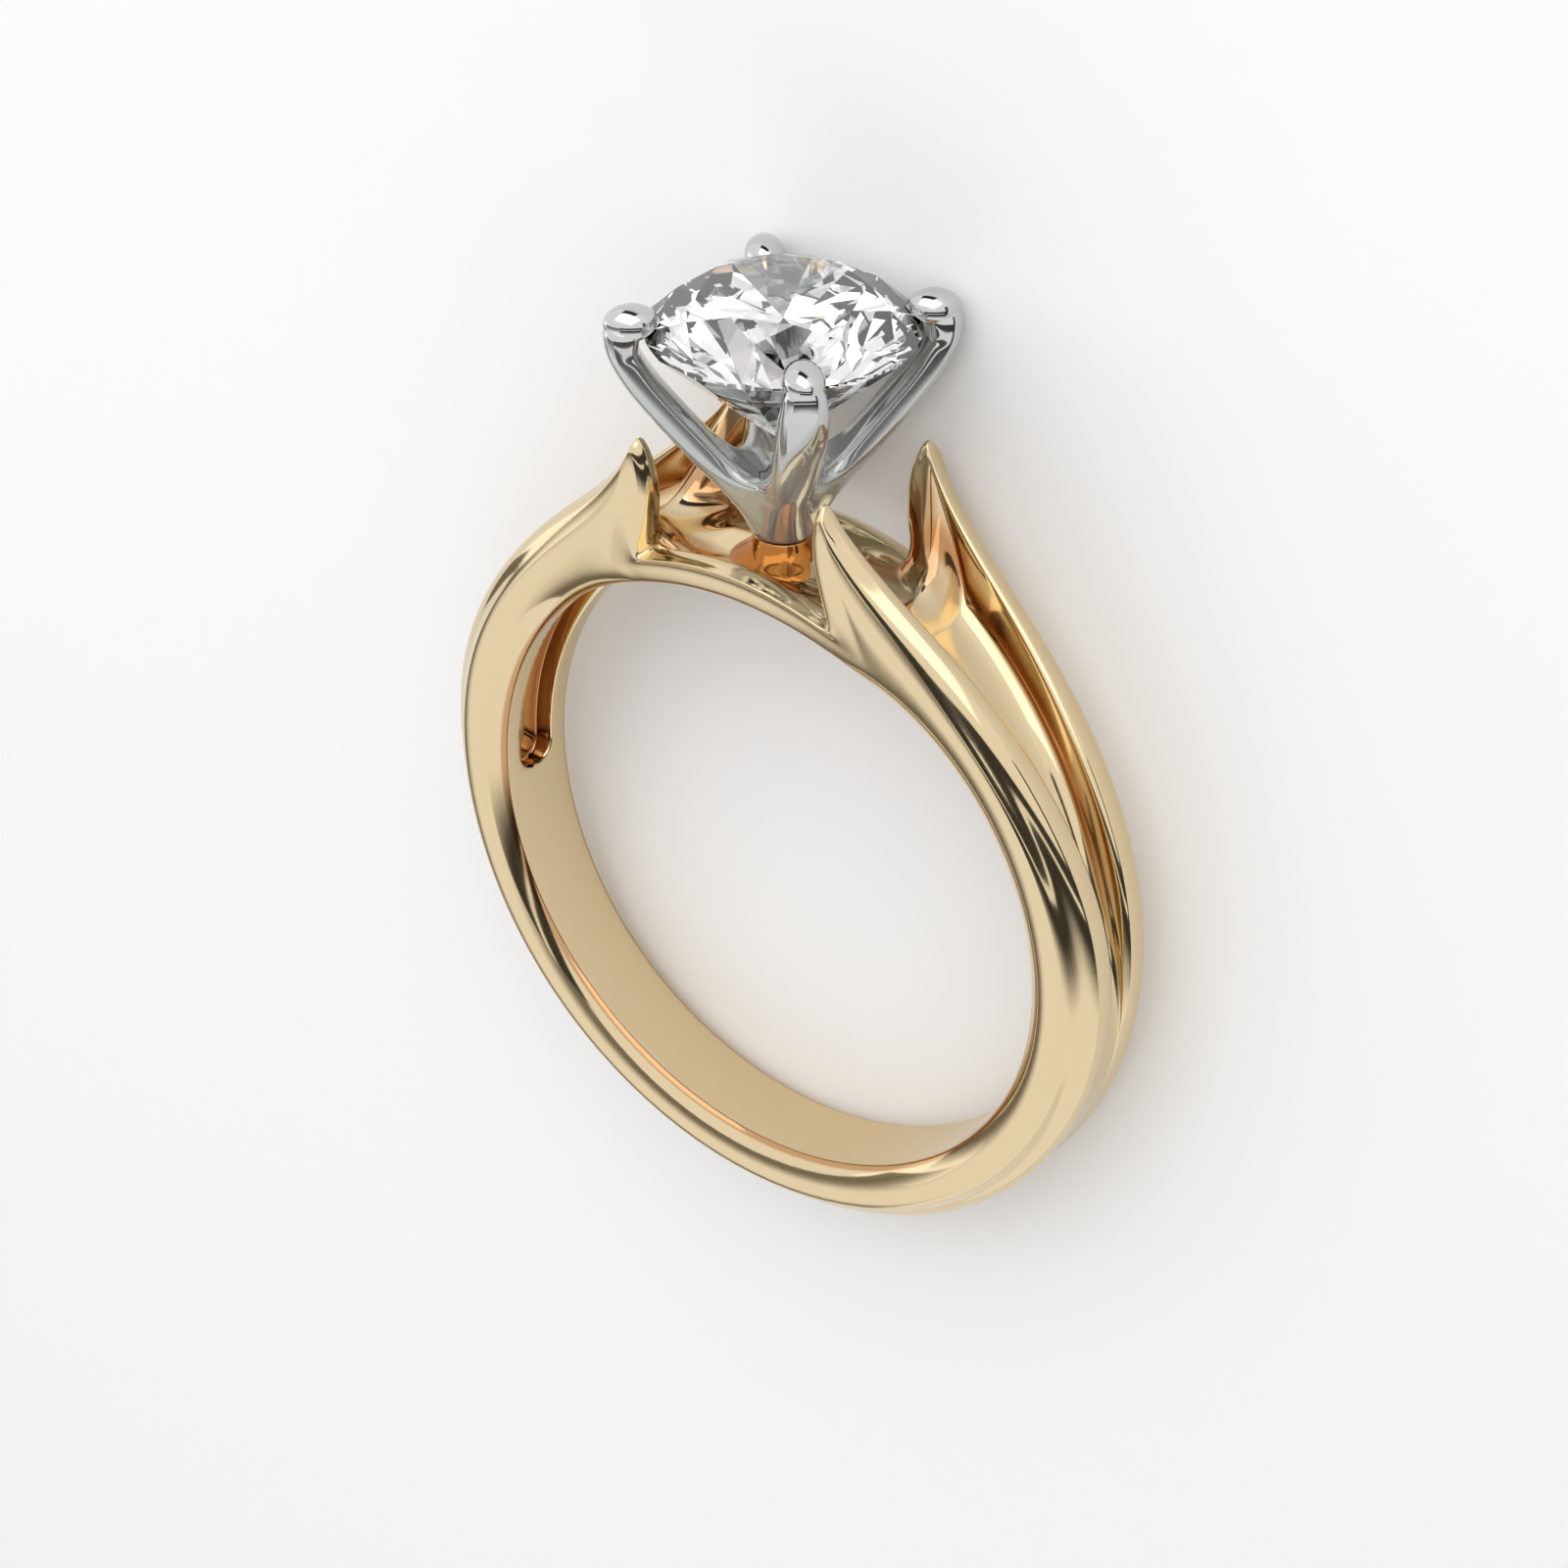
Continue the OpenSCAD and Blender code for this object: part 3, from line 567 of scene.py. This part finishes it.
def five_across(row):
    """Points of a sheet row over one quarter, from one notch plane to the other."""
    mid, edge_x, edge_y, notch, mid_h, edge_h, notch_h = row
    s = notch * np.sqrt(0.5)
    return np.array([[s, -s, notch_h], [edge_x, -edge_y, edge_h], [mid, 0, mid_h],
                     [edge_x, edge_y, edge_h], [s, s, notch_h]])


def quarter_cage():
    """Points and faces of one prong with its quarter of the cup."""
    loops = tube_loops()
    s = NOTCH[:, 0] * np.sqrt(0.5)
    for side, places in ((1, [2, 3, 4]), (-1, [10, 9, 8])):
        loops[0, places] = np.stack([s, side * s, NOTCH[:, 1]], -1)
        loops[1, places] = ABOVE_NOTCH * [1, side, 1]
    points, faces = [], []

    def add(rows):
        first = sum(len(p) for p in points)
        points.append(np.asarray(rows, float))
        return np.arange(first, first + len(rows))

    sheet = [add(five_across(r)) for r in CUP]
    tube = [add(r) for r in loops]
    sheet.append(tube[0][[10, 11, 0, 1, 2]])
    bowl = [tube[0][[8, 7, 6, 5, 4]]] + [add(five_across(r)) for r in BOWL]
    for low, high in zip(sheet, sheet[1:]):
        faces += [[low[k], low[k + 1], high[k + 1], high[k]] for k in range(4)]
    for high, low in zip(bowl, bowl[1:]):
        faces += [[low[k + 1], low[k], high[k], high[k + 1]] for k in range(4)]
    for low, high in zip(tube, tube[1:]):
        faces += [[low[k], low[(k + 1) % 12], high[(k + 1) % 12], high[k]] for k in range(12)]

    last, rim = tube[-1], loops[-1]
    cap = add([[rim[3, 0], END_SIDE * rim[3, 1], END_TOP - END_DIP], [rim[3, 0], 0, END_TOP],
               [rim[3, 0], END_SIDE * rim[9, 1], END_TOP - END_DIP]])
    rows = [last[[2, 1, 0, 11, 10]], np.array([last[3], *cap, last[9]]), last[[4, 5, 6, 7, 8]]]
    for a, b in zip(rows, rows[1:]):
        faces += [[a[k], b[k], b[k + 1], a[k + 1]] for k in range(4)]

    floor = add([[0, 0, BOWL_FLOOR]])[0]
    base = add([[0, 0, 0]])[0]
    under = add(five_across(CUP_BASE))
    faces += [[bowl[-1][k + 1], bowl[-1][k], floor] for k in range(4)]
    faces += [[under[k], under[k + 1], sheet[0][k + 1], sheet[0][k]] for k in range(4)]
    faces += [[base, under[k + 1], under[k]] for k in range(4)]
    return np.concatenate(points) + [0, 0, FOOT_Z], faces


def quarter_turns(points):
    """Points (..., 3) four times, once along each prong: x and y turned by 45, 135, 225 and 315 degrees."""
    turns = np.radians([45, 135, 225, 315]).reshape(4, *[1] * (points.ndim - 1))
    c, s = np.cos(turns), np.sin(turns)
    x, y, z = points[..., 0], points[..., 1], points[..., 2]
    return np.stack([x * c - y * s, x * s + y * c, np.broadcast_to(z, (4,) + z.shape)], -1)


def setting_cage():
    """Coarse quads of the whole head for the subdivision to round: four quarters, welded at equal points."""
    points, faces = quarter_cage()
    every = [[i + q * len(points) for i in f] for q in range(4) for f in faces]
    kept, index = np.unique(quarter_turns(points).reshape(-1, 3).round(5), axis=0, return_inverse=True)
    index = index.reshape(-1)
    return kept, [[index[i] for i in f] for f in every]


def beads():
    """Four ellipsoids, long towards the stone, whose undersides are lifted clear of the stone's crown."""
    x, h, length, width, height = BEAD
    lat = np.linspace(-np.pi / 2, np.pi / 2, BEAD_ROWS)[:, None]
    lon = np.linspace(0, 2 * np.pi, BEAD_STEPS, endpoint=False)[None, :]
    out = x + length * np.cos(lat) * np.cos(lon)
    side = width * np.cos(lat) * np.sin(lon)
    crown = GIRDLE_H + GIRDLE_T / 2 + (GIRDLE_R - out) * np.tan(CROWN) + BEAD_GAP
    up = np.maximum(h + height * np.sin(lat) + 0 * lon, np.minimum(crown, BEAD_TOP))
    return quarter_turns(np.stack([out, side, up + FOOT_Z], -1)).reshape(4, -1, 3)


balls = beads()
ball = turn_outwards(grid_faces(BEAD_ROWS, BEAD_STEPS, closed_rows=False), balls[0])
caps = add_mesh("beads", balls.reshape(-1, 3), np.concatenate([ball + k * balls.shape[1] for k in range(4)]))

setting = add_mesh("prongs_and_cup", *setting_cage())
rounding = setting.modifiers.new("rounding", "SUBSURF")
rounding.levels = rounding.render_levels = 3

# White gold in two close greys, and a third, a little satin, towards the foot; it goes over to that
# between two places along Y, in metres
WHITE_DARK, WHITE_LIGHT, WHITE_FOOT = (0.56, 0.57, 0.555), (0.62, 0.625, 0.615), (0.52, 0.535, 0.515)
FOOT_FROM, FOOT_TO = 0.0158, 0.0126
FOOT_METALLIC = 0.6

white, tree, shader = new_material("white_gold")
marks = polished(tree, shader, 1800, 0.05, 0.09)
place, part = tree.nodes.new("ShaderNodeTexCoord"), tree.nodes.new("ShaderNodeSeparateXYZ")
near_foot, satin = tree.nodes.new("ShaderNodeMapRange"), tree.nodes.new("ShaderNodeMapRange")
near_foot.interpolation_type = "SMOOTHSTEP"
near_foot.inputs["From Min"].default_value = FOOT_FROM
near_foot.inputs["From Max"].default_value = FOOT_TO
satin.inputs["To Min"].default_value = 1
satin.inputs["To Max"].default_value = FOOT_METALLIC
tree.links.new(place.outputs["Object"], part.inputs["Vector"])
tree.links.new(part.outputs["Y"], near_foot.inputs["Value"])
tree.links.new(near_foot.outputs["Result"], satin.inputs["Value"])
tree.links.new(satin.outputs["Result"], shader.inputs["Metallic"])
greys = two_tones(tree, marks.outputs["Cloud"], WHITE_DARK, WHITE_LIGHT)
tree.links.new(two_tones(tree, near_foot.outputs["Result"], greys, WHITE_FOOT), shader.inputs["Base Color"])
for piece in (setting, caps):
    piece.data.materials.append(white)
    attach(piece, "root")
    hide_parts("setting")


# Stone. Clear brilliant-cut stone, held at its girdle by the beads: flat polished
# facets, a table, stars, kites and small facets above, mains and small facets below.

GIRDLE_Z = FOOT_Z + GIRDLE_H
TABLE_R = 0.61 * GIRDLE_R
LOWER_R = 0.23 * GIRDLE_R
PAVILION = np.radians(41)
# Girdle points in each sixteenth of the round
ARC = 6
# Strongest painted fire on a facet, random tints that stand in for the coloured flashes of dispersed light,
# and the number of first facets, from the table on, that stay clear
FIRE, CLEAR_FACETS = 0.09, 8


def around(angle, radius, z):
    """Points at angles round the stone's axis."""
    a = np.radians(np.asarray(angle, float))
    return np.stack([radius * np.cos(a), radius * np.sin(a), np.broadcast_to(z, a.shape)], -1)


def girdle_edge(tips, z):
    """Girdle line of one side: it dips where the plane of each small facet meets the round edge."""
    angle = 360 * np.arange(16 * ARC) / (16 * ARC)
    sector = (angle // 45).astype(int)
    main = np.where(angle - 45 * sector < 22.5, sector, sector + 1)
    p = tips[sector]
    q, r = around(45 * main, GIRDLE_R, z), around(45 * sector + 22.5, GIRDLE_R, z)
    normal = np.cross(q - p, r - p)
    off = around(angle, GIRDLE_R, 0) - p
    height = p[:, 2] - (normal[:, 0] * off[:, 0] + normal[:, 1] * off[:, 1]) / normal[:, 2]
    return around(angle, GIRDLE_R, height)


def brilliant():
    """Points and flat faces of the cut stone; every corner follows from the slopes of the facets."""
    half_turn = np.cos(np.radians(22.5))
    crown_h = (GIRDLE_R - TABLE_R) * np.tan(CROWN)
    star_r = (TABLE_R * half_turn + GIRDLE_R) / 2
    star_h = crown_h - (star_r * half_turn - TABLE_R) * np.tan(CROWN)
    low_h = -(GIRDLE_R - LOWER_R * half_turn) * np.tan(PAVILION)
    top, base = GIRDLE_Z + GIRDLE_T / 2, GIRDLE_Z - GIRDLE_T / 2
    k = np.arange(8)
    table = around(45 * k, TABLE_R, top + crown_h)
    stars = around(45 * k + 22.5, star_r, top + star_h)
    lows = around(45 * k + 22.5, LOWER_R, base + low_h)
    points = np.concatenate([table, stars, girdle_edge(stars, top), girdle_edge(lows, base), lows,
                             [[0, 0, base - GIRDLE_R * np.tan(PAVILION)]]])

    # where each ring of points starts: table t, stars s, upper girdle g, lower girdle b, lows w, tip
    n, per = 16 * ARC, 2 * ARC
    t, s, g = 0, 8, 16
    b, w = g + n, g + 2 * n
    tip = w + 8
    faces = [[t + k for k in range(8)]]
    for k in range(8):
        after, before = (k + 1) % 8, (k + 7) % 8
        faces += [[t + k, s + k, t + after], [t + k, s + before, g + per * k, s + k],
                  [s + k] + [g + per * k + i for i in range(ARC + 1)],
                  [s + k] + [g + (per * k + i) % n for i in range(ARC, per + 1)],
                  [w + before, tip, w + k, b + per * k],
                  [w + k] + [b + per * k + i for i in range(ARC, -1, -1)],
                  [w + k] + [b + (per * k + i) % n for i in range(per, ARC - 1, -1)]]
    faces += [[g + i, b + i, b + (i + 1) % n, g + (i + 1) % n] for i in range(n)]
    return points, faces


points, faces = brilliant()
stone = add_mesh("cut_stone", points, faces, smooth=False)
clear, tree, shader = new_material("stone")
# painted fire: each facet after the first ones gets a random tint in place of coloured dispersed light
fire = np.ones((len(faces), 4))
fire[CLEAR_FACETS:, :3] -= np.random.default_rng(5).uniform(0, FIRE, (len(faces) - CLEAR_FACETS, 3))
stone.data.attributes.new("fire", "FLOAT_COLOR", "FACE").data.foreach_set(
    "color", fire.astype(np.float32).reshape(-1))
glint = tree.nodes.new("ShaderNodeAttribute")
glint.attribute_name = "fire"
tree.links.new(glint.outputs["Color"], shader.inputs["Base Color"])
shader.inputs["Transmission Weight"].default_value = 1
shader.inputs["Roughness"].default_value = 0
shader.inputs["IOR"].default_value = 2.417
stone.data.materials.append(clear)
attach(stone, "root")
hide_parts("stone")


# Studio. A pale paper floor, a white dome, two large soft lamps, and bent cards that the
# metal reflects as its dark and grey lines. The camera sees the cards only in the ring.
# None of it is part of the ring.

FLOOR_HALF = 2.0
floor_z = packed_low.z
corners = [(x * FLOOR_HALF, y * FLOOR_HALF, floor_z) for x, y in ((-1, -1), (1, -1), (1, 1), (-1, 1))]
floor_mesh = bpy.data.meshes.new("floor")
floor_mesh.from_pydata(corners, [], [(0, 1, 2, 3)])
floor = bpy.data.objects.new("floor", floor_mesh)
bpy.context.collection.objects.link(floor)
paper, tree, shader = new_material("paper")
shader.inputs["Base Color"].default_value = (0.985, 0.985, 0.985, 1)
shader.inputs["Roughness"].default_value = 0.9
floor_mesh.materials.append(paper)

# Camera of the photograph, found round the upright ring and then laid down with it: direction,
# distance, how far it is moved aside and up, in mm, focal length and frame in pixels, sensor in mm
AZIMUTH, ELEVATION, DISTANCE = np.radians(37.77), np.radians(33.02), 85.0
ASIDE, ABOVE = 0.0135, 1.971
FOCAL_PX, FRAME_PX, SENSOR = 3300.3, 1600, 36
level = np.cos(ELEVATION)
back = np.array([np.sin(AZIMUTH) * level, -np.cos(AZIMUTH) * level, np.sin(ELEVATION)])
right = np.array([np.cos(AZIMUTH), np.sin(AZIMUTH), 0])
up = np.cross(back, right)
pose = np.eye(4)
pose[:3, :3] = np.stack([lay_down(v) * 1000 for v in (right, up, back)], 1)
pose[:3, 3] = lay_down(back * DISTANCE + right * ASIDE + up * ABOVE)
camera = bpy.data.objects.new("camera", bpy.data.cameras.new("camera"))
camera.matrix_world = Matrix(pose.tolist())
camera.data.sensor_width = SENSOR
camera.data.lens = FOCAL_PX / FRAME_PX * SENSOR
camera.data.clip_start, camera.data.clip_end = 0.001, 10
bpy.context.collection.objects.link(camera)
bpy.context.scene.camera = camera

world = bpy.data.worlds.new("studio")
bpy.context.scene.world = world
world.use_nodes = True
world.node_tree.nodes["Background"].inputs["Color"].default_value = (1, 1, 1, 1)
world.node_tree.nodes["Background"].inputs["Strength"].default_value = 1.06
bpy.context.scene.view_settings.view_transform = "Standard"


def softbox(name, compass, height, distance, wide, high, glow):
    """A rectangular lamp turned to face the ring: compass angle from +Y towards +X, mm, and brightness."""
    a, h = np.radians(compass), np.radians(height)
    place = Vector((np.sin(a) * np.cos(h), np.cos(a) * np.cos(h), np.sin(h))) * distance * 0.001
    lamp = bpy.data.lights.new(name, "AREA")
    lamp.shape, lamp.size, lamp.size_y = "RECTANGLE", wide * 0.001, high * 0.001
    lamp.energy = glow * np.pi * wide * high * 1e-6
    thing = bpy.data.objects.new(name, lamp)
    thing.rotation_mode = "QUATERNION"
    thing.rotation_quaternion = (-place).to_track_quat("-Z", "Y")
    thing.location = place
    bpy.context.collection.objects.link(thing)


def hang(name, points, colour, fade):
    """A card of plain board from two rows of points, in metres; fade thins it out towards the first."""
    n = len(points) // 2
    k = np.arange(n - 1) * 2
    mesh = bpy.data.meshes.new(name)
    mesh.from_pydata(points.tolist(), [], np.stack([k, k + 1, k + 3, k + 2], 1).tolist())
    mark_points(mesh, "across", np.tile([0.0, 1.0], n))
    board, tree, shader = new_material(name)
    shader.inputs["Base Color"].default_value = (*colour, 1)
    shader.inputs["Roughness"].default_value = 0.8
    if fade:
        across, thin = tree.nodes.new("ShaderNodeAttribute"), tree.nodes.new("ShaderNodeMapRange")
        across.attribute_name = "across"
        thin.interpolation_type = "SMOOTHSTEP"
        thin.inputs["From Max"].default_value = fade
        tree.links.new(across.outputs["Fac"], thin.inputs["Value"])
        tree.links.new(thin.outputs["Result"], shader.inputs["Alpha"])
    mesh.materials.append(board)
    thing = bpy.data.objects.new(name, mesh)
    thing.visible_camera = False
    bpy.context.collection.objects.link(thing)


def bend(start, end, edges):
    """Grid of angles and edges of a bent card, 41 stops along it, with the angles' sines and cosines."""
    angles, edges = np.meshgrid(np.radians(np.linspace(start, end, 41)), edges, indexing="ij")
    return np.sin(angles), np.cos(angles), edges


def bent_card(name, radius, start, end, low, high, colour, fade=0):
    """A card bent round the Y axis, in mm: angles from the zenith towards +X, then its two edges' Y."""
    sine, cosine, edges = bend(start, end, [low, high])
    hang(name, np.stack([radius * sine, edges, radius * cosine], -1).reshape(-1, 3) * 0.001, colour, fade)


def standing_card(name, radius, start, end, low, high, colour, fade=0):
    """A card bent round the Z axis, in mm: compass angles from +Y towards +X, then its edges' heights."""
    sine, cosine, edges = bend(start, end, [low, high])
    hang(name, np.stack([radius * sine, radius * cosine, edges], -1).reshape(-1, 3) * 0.001, colour, fade)


BLACK_BOARD = (0.03, 0.028, 0.025)

softbox("head_side", 14, 34, 400, 560, 360, 0.85)
softbox("left_side", -100, 22, 400, 200, 260, 0.45)
bent_card("arch_front", 150, 6, 88, -125, -32, BLACK_BOARD, fade=0.75)
bent_card("arch_head", 150, 6, 88, -22, 8, BLACK_BOARD)
bent_card("arch_left", 150, -62, 6, -85, 2, (0.24, 0.225, 0.20), fade=0.8)
standing_card("grey_left", 150, -165, -100, 85, 0, (0.20, 0.18, 0.15), fade=0.8)
standing_card("grey_right", 170, 62, 112, 2, 34, (0.10, 0.095, 0.085))
standing_card("dark_spot", 60, -20, 12, -1, 12, (0.02, 0.02, 0.02))
